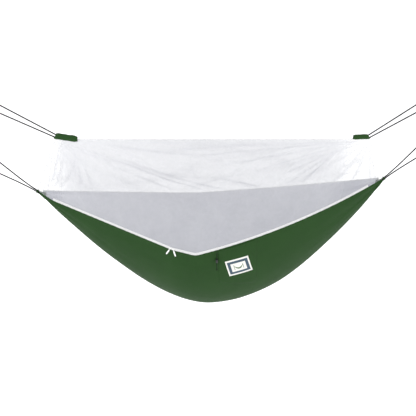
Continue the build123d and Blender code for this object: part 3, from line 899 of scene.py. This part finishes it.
def fan_field(x, below, corner_x, count, seed):
    """Tension folds that radiate from an end of the ridge, from 0 to 1."""
    away = np.abs(x - corner_x)
    reach = np.hypot(away, below)
    angle = np.arctan2(below, away)
    wander = noise_over(reach * 2.0, angle * 1.5, seed)
    ridges = (1 - np.abs(np.sin(count * angle + 1.9 * wander + seed))) ** 3
    lit = 0.5 + 0.5 * noise_over(angle * 4.0, reach * 1.5, seed + 2)
    return ridges * np.clip(lit, 0, 1) * np.exp(-reach / 1.05) * np.clip(reach / 0.06, 0, 1)


def crease_field(x, down, height, folds):
    """Height of the creases at each point, and how strongly the net is doubled there, which also sets a
    painted highlight along each crease.
    """
    rise, strength = np.zeros_like(x), np.zeros_like(x)
    for points, width, size in folds:
        nearest = np.full_like(x, 9.0)
        share = np.zeros_like(x)
        points = smooth_line(points)
        for k, ((x0, d0), (x1, d1)) in enumerate(zip(points, points[1:])):
            run, fall = x1 - x0, (d1 - d0) * height
            px, py = x - x0, (down - d0) * height
            t = np.clip((px * run + py * fall) / (run**2 + fall**2 + 1e-12), 0, 1)
            distance = np.hypot(px - t * run, py - t * fall)
            closer = distance < nearest
            nearest = np.where(closer, distance, nearest)
            share = np.where(closer, (k + t) / (len(points) - 1), share)
        wander = 1 + 0.35 * noise_over(x * 6, down * 4, width * 900)
        spread = width * (0.6 + 0.9 * share) * wander
        fade = np.sin(math.pi * np.clip(share * 0.92 + 0.10, 0, 1)) ** 0.6
        profile = np.exp(-((nearest / spread) ** 1.4)) - 0.35 * np.exp(-((nearest / (2.1 * spread)) ** 2))
        rise += size * fade * profile
        strength += fade * np.exp(-((nearest / (0.55 * spread)) ** 2)) * size / 0.010
    return rise, np.clip(strength, 0, 1)


def crumple(x, height, seed, size):
    """Small sharp creases in every direction."""
    where = points_at(x * size, height * size, 0.0)
    one, two = noise_field(where, seed), noise_field(where * 2.3, seed + 4)
    return np.clip(1 - 7 * np.abs(one), 0, 1) ** 2 + 0.6 * np.clip(1 - 7 * np.abs(two), 0, 1) ** 2


def thin_ends(x):
    """How far the net opens out towards its two ends, where more light comes through, from 0 to 1."""
    return smooth(0.78, 1.00, x) + smooth(0.96, 1.06, -x)


def net_xs(low, high, step):
    marks = [low] + [x for x in (RIDGE_LEFT_X, RIDGE_RIGHT_X) if low < x < high] + [high]
    parts = []
    for a, b in zip(marks, marks[1:]):
        parts.append(np.linspace(a, b, max(3, int((b - a) / step)), endpoint=False))
    return np.concatenate([*parts, [high]])


def net_grid(xs, foot, side, folds, rows=110, seed=2.0, doubling_and_highlight=1.0):
    """Net from the ridge to a foot line, with slack, creases and crumples; side is -1 for the near one."""
    top = points_at(xs, side * 0.0012, net_top(xs))
    down = np.linspace(0, 1, rows)[None, :].repeat(len(xs), 0)
    x = xs[:, None].repeat(rows, 1)
    flat = top[:, None] + (foot - top)[:, None] * down[..., None]
    height = np.linalg.norm(foot - top, axis=1)[:, None].repeat(rows, 1)
    pull = foot - top
    normals = unit(points_at(0.0, -pull[:, 2], pull[:, 1]) * side)
    rise, strength = crease_field(x, down, height, folds)
    edge = np.minimum(1, np.minimum(down, 1 - down) * height / 0.06) * np.minimum(1, height / 0.25)
    billow = noise_over(x * 2.6, down * height * 3.5, seed)
    ripple = noise_over(x * 9, down * height * 6, seed + 3)
    corner = np.exp(-(((x - 0.86) / 0.16) ** 2) - ((down - 0.55) / 0.30) ** 2)
    corner += 0.7 * np.exp(-(((x + 0.98) / 0.12) ** 2) - ((down - 0.5) / 0.4) ** 2)
    creased = crumple(x, down * height, seed + 6, 9.0) * (0.18 + 0.82 * np.clip(corner, 0, 1))
    fans = fan_field(x, down * height, RIDGE_LEFT_X, 9, seed)
    fans = fans + fan_field(x, down * height, RIDGE_RIGHT_X, 11, seed + 5)
    sag = -0.012 * np.sin(math.pi * down) * np.minimum(1, height / 0.4)
    off = sag + edge * (0.010 * billow + 0.0025 * ripple + rise + 0.0035 * creased + 0.007 * fans)
    # fold: where the net lies doubled, which raises its cover, and a painted highlight, which lightens its
    # colour towards the fold colour.
    fold = np.clip(0.90 * strength + 0.50 * creased + 0.95 * fans, 0, 1) * np.minimum(1, edge + 0.3)
    fold = doubling_and_highlight * fold - 0.34 * thin_ends(x)
    return flat + normals[:, None] * off[..., None], fold


def far_foot(xs):
    return points_at(xs, rim_y(xs) - 0.0020, rim_z(xs) + 0.006)


def near_foot(xs):
    return zip_points(xs, DOOR_HEM + UPPER_TAPE - 0.002, 0.0008)


def seam_line(start, end, count=60):
    xs = np.linspace(start, end, count)
    return points_at(xs, 0.0, net_top(xs))


def make_net():
    xs = net_xs(-NET_END_X, NET_END_X, NET_STEP)
    points, fold = net_grid(xs, far_foot(xs), 1, FAR_FOLDS)
    mesh = cloth_grid(points, fold, 0)
    far = piece("net_far_cloth", mesh, NET, ["net_far_panel"])
    ends = (("left", -NET_END_X, RIDGE_LEFT_X), ("right", RIDGE_RIGHT_X, NET_END_X))
    for name, low, high in ends:
        line = resample(seam_line(low, high), 0.004)
        mesh = tube_mesh(line, 0.0022, 8)
        piece(f"net_end_seam_{name}", mesh, TAPE)

    door_xs = net_xs(-ZIP_END_X, ZIP_END_X, NET_STEP)
    points, fold = net_grid(door_xs, near_foot(door_xs), -1, NEAR_FOLDS, seed=9.0, doubling_and_highlight=0.05)
    mesh = cloth_grid(points, fold, 0)
    door = piece("net_door_cloth", mesh, NET, ["net_near_panel"], ride_door)
    for name, side in (("left", -1), ("right", 1)):
        end_xs = np.linspace(*sorted((side * ZIP_END_X, side * NET_END_X)), 24)
        share = smooth(0.0, 0.03, np.abs(end_xs) - ZIP_END_X)[:, None]
        rim = points_at(end_xs, -rim_y(end_xs) + 0.0012, rim_z(end_xs) + 0.001)
        foot = near_foot(end_xs) * (1 - share) + rim * share
        points, fold = net_grid(end_xs, foot, -1, NEAR_FOLDS, seed=9.0, doubling_and_highlight=0.05)
        mesh = cloth_grid(points, fold, 0)
        end = piece(f"net_end_cloth_{name}", mesh, NET, [f"net_end_panel_{name}"])


def make_ridge_tape():
    """Folded tape over the ridge seam, a little wavy, with two rows of stitches."""
    xs = np.linspace(RIDGE_LEFT_X, RIDGE_RIGHT_X, 420)
    turn = around(16)
    wave = 0.0006 * noise_over(xs * 14, xs * 0, 21.0)
    y = 0.0050 * flattened(np.cos(turn), 0.6)
    z = RIDGE_Z + 0.0010 + 0.0013 * np.sin(turn) - 0.0010 * (y / 0.005) ** 2
    rings = points_at(xs[:, None], y[None] + wave[:, None], z[None] + wave[:, None])
    mesh = swept(rings)
    piece("net_ridge_tape_cloth", mesh, TAPE, ["net_ridge_tape"])
    for name, y in (("near", -0.0032), ("far", 0.0032)):
        line = points_at(xs, y + wave, RIDGE_Z + 0.0019 + wave)
        normals = np.tile([0.0, 0.0, 1.0], (len(xs), 1))
        piece(f"ridge_stitching_{name}", stitches(line, normals), THREAD_WHITE)


def make_far_binding():
    """Tape folded over the far rim."""
    xs = np.linspace(-BED_END_X, BED_END_X, 480)
    turn = around(14)
    wave = noise_over(xs * 18, xs * 0, 31.0)[:, None]
    width = np.minimum(0.0024, rim_y(xs) / 6)[:, None]
    y = rim_y(xs)[:, None] - width + width * np.cos(turn)[None] * (1 + 0.15 * wave)
    z = rim_z(xs)[:, None] + 0.0043 + 0.0042 * flattened(np.sin(turn), 0.7) + 0.0003 * wave
    rings = points_at(xs[:, None], y, z)
    mesh = swept(rings)
    piece("far_rim_binding_cloth", mesh, TAPE, ["far_rim_binding"])


# ---------------------------------------------------------------- gathers and ridge sleeves

NECK_LENGTH = 0.010
BULB_LENGTH = 0.010
NECK_RADIUS = 0.0085
MOUTH_X = 1.146
GATHER_PLEATS = 11
WHIPPING_TURNS = 4.0
WHIPPING_RADIUS = 0.0106
WHIPPING_CORD = 0.00135


def out_of(side, rise):
    rise = math.radians(rise)
    return np.array([side * math.cos(rise), 0.0, math.sin(rise)])


def ring_at(centre, across, up, half_wide, half_high, turn, pleat, twist):
    """Ring of points round a centre, its radius rising and falling in pleats."""
    wave = np.abs(np.sin(GATHER_PLEATS * turn / 2 + twist))
    scale = 1 + pleat * (wave - 0.5)
    flat = np.cos(turn) * scale * half_wide, np.sin(turn) * scale * half_high
    return centre + flat[0][:, None] * across + flat[1][:, None] * up


def make_gather(name, side, rise):
    out = out_of(side, rise)
    tip = np.array(gather_start(side, rise))
    mouth_x = side * MOUTH_X
    low, high = keel_z(mouth_x), rim_z(mouth_x)
    mouth = np.array([mouth_x, 0, float(low + high) / 2])
    neck = tip - out * (NECK_LENGTH + BULB_LENGTH)
    sideways = np.array([0, 1.0, 0])
    turn = around(128)
    rings = []
    for t in np.linspace(0, 1, 26):
        centre = mouth + (neck - mouth) * t
        along = np.array([side * 1.0, 0, 0]) * (1 - t) + out * t
        up = np.cross(along / np.linalg.norm(along), sideways) * -side
        ease = t**0.8
        half_wide = float(rim_y(mouth_x)) * 0.96 * (1 - ease) + NECK_RADIUS * ease
        half_high = float(high - low) * 0.50 * (1 - ease) + NECK_RADIUS * ease
        rings.append(ring_at(centre, sideways, up, half_wide, half_high, turn, 0.10 + 0.14 * t, 0.5 * t))
    up = np.cross(out, sideways) * -side
    for share, radius, pleat in (
        (0.25, 0.0080, 0.22), (0.45, 0.0080, 0.22), (0.54, 0.0098, 0.24), (0.64, 0.0116, 0.26),
        (0.78, 0.0121, 0.26), (0.90, 0.0117, 0.24), (0.97, 0.0104, 0.20), (1.00, 0.0085, 0.16),
        (0.985, 0.0060, 0.10), (0.96, 0.0040, 0.05),
    ):
        centre = neck + out * share * (NECK_LENGTH + BULB_LENGTH)
        rings.append(ring_at(centre, sideways, up, radius, radius, turn, pleat, 0.5 + 0.3 * share))
    mesh = swept(np.array(rings))
    gathered = piece(f"gather_cloth_{name}", mesh, SHELL, [f"gather_sleeve_{name}"])
    t = np.linspace(0, WHIPPING_TURNS, int(WHIPPING_TURNS * 40))
    shift = (0.0016 + t / WHIPPING_TURNS * (NECK_LENGTH - 0.0032))[:, None]
    angle = 2 * math.pi * t[:, None]
    spiral = neck + out * shift + (np.cos(angle) * sideways + np.sin(angle) * up) * WHIPPING_RADIUS
    whipping = tube_mesh(spiral, WHIPPING_CORD, 10, braid=0.14, pitch=0.010)
    piece(f"gather_whipping_{name}", whipping, ROPE, [f"gather_wrap_{name}"])


SLEEVE_DEPTH = 0.026
SLEEVE_WALL = 0.0012
SLEEVE_TAIL = 0.009
# Length, height and slope in degrees.
SLEEVES = {"left": (0.148, 0.043, 9.0), "right": (0.103, 0.033, 3.0)}


def sleeve_ring(centre, along, wide, high, squareness=3.4, lift=0.0):
    """Rounded rectangular ring square to a direction in the XZ plane."""
    turn = around(56)
    up = np.array([-along[2], 0, along[0]])
    up = up if up[2] > 0 else -up
    power = 2 / squareness
    across = flattened(np.cos(turn), power) * wide / 2
    height = flattened(np.sin(turn), power) * high / 2
    return centre + across[:, None] * np.array([0, 1.0, 0]) + (height + lift)[:, None] * up


THREAD_LIFT = 0.0002


def thread_row(name, line, outward, length=0.0035, gap=0.0025, material=THREAD_GREEN):
    """Stitches a hair above the cloth."""
    mesh = stitches(line + outward * THREAD_LIFT, outward, length, gap)
    return piece(name, mesh, material)


def make_sleeve(name, side, start, rise, length, height, slope):
    out = out_of(side, rise)
    slope = math.radians(slope)
    inward = np.array([-side * math.cos(slope), 0, -math.sin(slope)])
    start = np.array(start)
    rings = []
    steps = 46
    for t in np.linspace(0, 1, steps):
        along = inward * smooth(0, 0.35, t) - out * (1 - smooth(0, 0.35, t))
        along = along / np.linalg.norm(along)
        ends = 1 - 0.10 * math.exp(-((t / 0.05) ** 2)) - 0.22 * float(smooth(0.86, 1.0, t))
        waist = 1 - 0.05 * math.sin(math.pi * t) + 0.03 * math.sin(19 * t + side)
        centre = start + inward * length * t
        ring = sleeve_ring(centre, along, SLEEVE_DEPTH * ends, height * ends * waist)
        below = np.clip((centre[2] - ring[:, 2]) / (height / 2), 0, 1)
        tail = SLEEVE_TAIL * below**2 * (float(smooth(0.80, 1.0, t)) - 0.6 * float(smooth(0.12, 0.0, t)))
        ring = ring + inward * tail[:, None]
        rumple = noise_field(ring * 42 + side * 3, 14.0) * 0.0011 + noise_field(ring * 110, 5.0) * 0.0004
        away = ring - centre
        ring = ring + unit(away) * rumple[:, None]
        rings.append(ring)
    rings = np.array(rings)
    centres = rings.mean(axis=1, keepdims=True)
    away = rings - centres
    lining = rings - unit(away) * SLEEVE_WALL
    hem = (rings[-1:] + lining[-1:]) / 2 + inward * 0.0008
    lip = (rings[:1] + lining[:1]) / 2 + out * 0.0008
    skin = np.concatenate([rings, hem, lining[::-1], lip, rings[:1]])
    body = swept(skin, caps=False)
    cloth = piece(f"ridge_sleeve_cloth_{name}", body, SHELL, [f"ridge_sleeve_{name}"])
    for label, place in (("near", 32), ("far", 52)):
        line = resample(rings[2:-2, place], 0.002)
        outward = unit(line * 0 + (rings[20, place] - rings[20].mean(axis=0)))
        thread_row(f"sleeve_stitching_{name}_{label}", line, outward)
    for row, place in enumerate((3, steps - 7)):
        loop = np.concatenate([rings[place], rings[place][:1]])
        outward = unit(loop - rings[place].mean(axis=0))
        thread_row(f"sleeve_bartack_{name}_{row + 1}", loop, outward, 0.0026, 0.0014)


def make_ends():
    for name in ("left", "right"):
        side, _, rise = ROPES[f"bed_rope_{name}"][:3]
        make_gather(name, side, rise)
        side, start, rise = ROPES[f"net_rope_{name}"][:3]
        make_sleeve(name, side, start, rise, *SLEEVES[name])


# ---------------------------------------------------------------- pocket and label

POCKET_X = (0.054, 0.306)
POCKET_ANGLES = (1.0, 31.0)
LABEL_OUTSET = 0.0046
LABEL_CORNERS = ((0.096, 9.4), (0.250, 10.1), (0.287, 23.3), (0.130, 22.3))
WHOLE = (0, 1, 0, 1)
FRAME_AREA = (0.065, 0.935, 0.10, 0.90)
CENTRE_AREA = (0.185, 0.815, 0.24, 0.76)
# Name, material, slot, replaced node, rise off the base, thickness, grid cells and area of the patch.
LABEL_LAYERS = (
    ("label_patch_cloth", LABEL_WHITE, "label_border", ["label_patch"], 0.0, 0.0007, (60, 44), WHOLE),
    ("label_frame_cloth", LABEL_SLATE, "label_panel", ["label_panel"], 0.0006, 0.0005, (60, 44), FRAME_AREA),
    ("label_centre_cloth", LABEL_WHITE, "label_border", [], 0.0011, 0.0004, (50, 34), CENTRE_AREA),
)


def wall_points(corners, u, v, outset):
    """Points on the near wall inside a four-cornered patch given by x and degrees below the rim."""
    top_left, top_right, bottom_right, bottom_left = (np.array(c) for c in corners)
    u, v = u[..., None], v[..., None]
    flat = (top_left * (1 - u) + top_right * u) * (1 - v) + (bottom_left * (1 - u) + bottom_right * u) * v
    return trough(flat[..., 0], np.radians(flat[..., 1]), outset)


def wall_patch(corners, outset, columns=60, rows=40, thickness=0.0006, window=WHOLE):
    u, v = np.meshgrid(
        np.linspace(window[0], window[1], columns), np.linspace(window[2], window[3], rows), indexing="ij"
    )
    points = wall_points(corners, u, v, outset(u, v))
    return cloth_grid(points[:, ::-1], thickness=thickness)


def rounded_outline(inset_x, inset_y, radius, steps=8):
    """Closed outline of a rounded rectangle in a unit square."""
    outline = []
    for cx, cy, first in ((1, 1, 0), (0, 1, 90), (0, 0, 180), (1, 0, 270)):
        for a in np.radians(np.linspace(first, first + 90, steps)):
            x = (1 - inset_x - radius if cx else inset_x + radius) + radius * math.cos(a)
            y = (1 - inset_y - radius if cy else inset_y + radius) + radius * math.sin(a)
            outline.append((x, y))
    return np.array(outline)


def stitched_outline(name, corners, outset, inset_x, inset_y, material=THREAD_GREEN):
    """A closed row of stitches just inside a patch's edge."""
    outline = rounded_outline(inset_x, inset_y, 0.02)
    outline = np.concatenate([outline, outline[:1]])
    u, v = outline[:, 0], outline[:, 1]
    points = wall_points(corners, u, v, outset(u, v))
    normals = wall_points(corners, u, v, outset(u, v) + 0.001) - points
    line = resample(points, 0.0015)
    turned = resample_with(normals, points, len(line))
    return thread_row(name, line, turned, 0.003, 0.002, material)


def resample_with(values, points, count):
    """Values given at points along a line, spread evenly along its length, as unit vectors."""
    lengths = path_lengths(points, 0)
    at = np.linspace(0, lengths[-1], count)
    return unit(values_at(at, lengths, values))


def pocket_outset(u, v):
    """The pocket bags out a little in its middle and lies flat at its seams."""
    belly = np.sin(math.pi * np.clip(u, 0, 1)) ** 0.6 * np.sin(math.pi * np.clip(v, 0, 1) ** 0.8) ** 0.6
    slack = np.sin(u * 23 + 2 * v) * np.exp(-((v / 0.25) ** 2))
    return 0.0012 + 0.0030 * belly + 0.0004 * slack


def label_outset(rise=0.0):
    """A flat layer of the label, a little above its base."""
    return lambda u, v: LABEL_OUTSET + 0.0 * u + rise


HEM_LINE, HEM_RISE = 0.012, 0.0026
HEM_WIDE, HEM_THICK = 0.0060, 0.0016


def make_pocket():
    (x0, x1), (high, low) = POCKET_X, POCKET_ANGLES
    corners = ((x0, high), (x1, high), (x1 + 0.010, low + 8.0), (x0 + 0.008, low - 5.0))
    mesh = wall_patch(corners, pocket_outset, 110, 90, 0.0008)
    pocket = piece("storage_pocket_cloth", mesh, SHELL, ["storage_pocket"])
    stitching = stitched_outline("pocket_stitching", corners, pocket_outset, 0.025, 0.03)
    u = np.linspace(0.0, 1.0, 160)
    hem_line = wall_points(corners, u, np.full_like(u, HEM_LINE), HEM_RISE + 0 * u)
    turn = around(14)
    outward = wall_points(corners, u, np.full_like(u, HEM_LINE), HEM_RISE + 0.001 + 0 * u) - hem_line
    down = wall_points(corners, u, np.full_like(u, 0.03), HEM_RISE + 0 * u) - hem_line
    oval = np.cos(turn)[None, :, None] * HEM_WIDE * unit(down)[:, None]
    oval = oval + np.sin(turn)[None, :, None] * HEM_THICK * unit(outward)[:, None]
    hem = swept(hem_line[:, None] + oval)
    hem = piece("pocket_hem_cloth", hem, SHELL, ["pocket_hem"])


def make_label():
    layers = []
    for title, material, slot, replaced, rise, thickness, cells, window in LABEL_LAYERS:
        mesh = wall_patch(LABEL_CORNERS, label_outset(rise), *cells, thickness, window)
        layers.append(piece(title, mesh, material, replaced))
    base, *layers = layers
    layers.append(stitched_outline(
        "label_stitching", LABEL_CORNERS, label_outset(0.0005), 0.03, 0.05, THREAD_WHITE
    ))
    layers.append(make_pictogram(LABEL_CORNERS))


def band(corners, line, width, outset):
    """Narrow embroidered band along a line of points in a patch's own unit square."""
    line = np.array(line, float)
    along = unit(np.gradient(line, axis=0))
    side = np.stack([-along[:, 1], along[:, 0] * 1.4], -1) * np.asarray(width)[:, None] / 2
    left, right = line - side, line + side
    rows = [left + (right - left) * t for t in np.linspace(0, 1, 5)]
    grid = np.stack(rows, 1)
    puff = 1 - np.linspace(-1, 1, 5)[None, :] ** 2
    return wall_points(corners, grid[..., 0], grid[..., 1], outset + 0.0004 * puff)


def make_pictogram(corners):
    """A plain sign for a hammock: a slung crescent between two posts."""
    outset = LABEL_OUTSET + 0.0014
    t = np.linspace(0, 1, 24)
    crescent = [(0.32 + 0.36 * s, 0.42 + 0.17 * math.sin(math.pi * s)) for s in t]
    posts = [[(x, y) for y in np.linspace(0.34, 0.66, 12)] for x in (0.31, 0.69)]
    points, faces = [], []
    bands = [(crescent, 0.012 + 0.050 * np.sin(math.pi * t))] + [(post, np.full(12, 0.020)) for post in posts]
    for line, width in bands:
        grid = band(corners, line, width, outset)
        rows, columns = grid.shape[:2]
        faces += [tuple(len(points) + k for k in face) for face in grid_faces(rows, columns)]
        points += list(grid.reshape(-1, 3))
    mesh = mesh_from(points, faces)
    return piece("label_pictogram", mesh, THREAD_GREEN)


CAD_LOOKS = (
    (COIL, "zipper_stop_left", "zipper_stop_right"),
    (PULL, "slider_left", "slider_right", "pull_left", "pull_right"),
    (SHELL, "drawcord_eyelet"),
    (BLACK_PLASTIC, "cord_lock_body", "cord_lock_button"),
    (STEEL, "cord_lock_spring"),
)


def dress_cad_nodes():
    for material, *names in CAD_LOOKS:
        for name in names:
            for slot in frame["nodes"][name].material_slots:
                slot.material = material


def squash_spring():
    """The lock's spring gets a mesh of its own."""
    spring = frame["nodes"]["cord_lock_spring"]
    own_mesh(spring)


make_bed()
make_zip()
make_net()
make_ridge_tape()
make_far_binding()
make_ends()
make_pocket()
make_label()
dress_cad_nodes()
squash_spring()
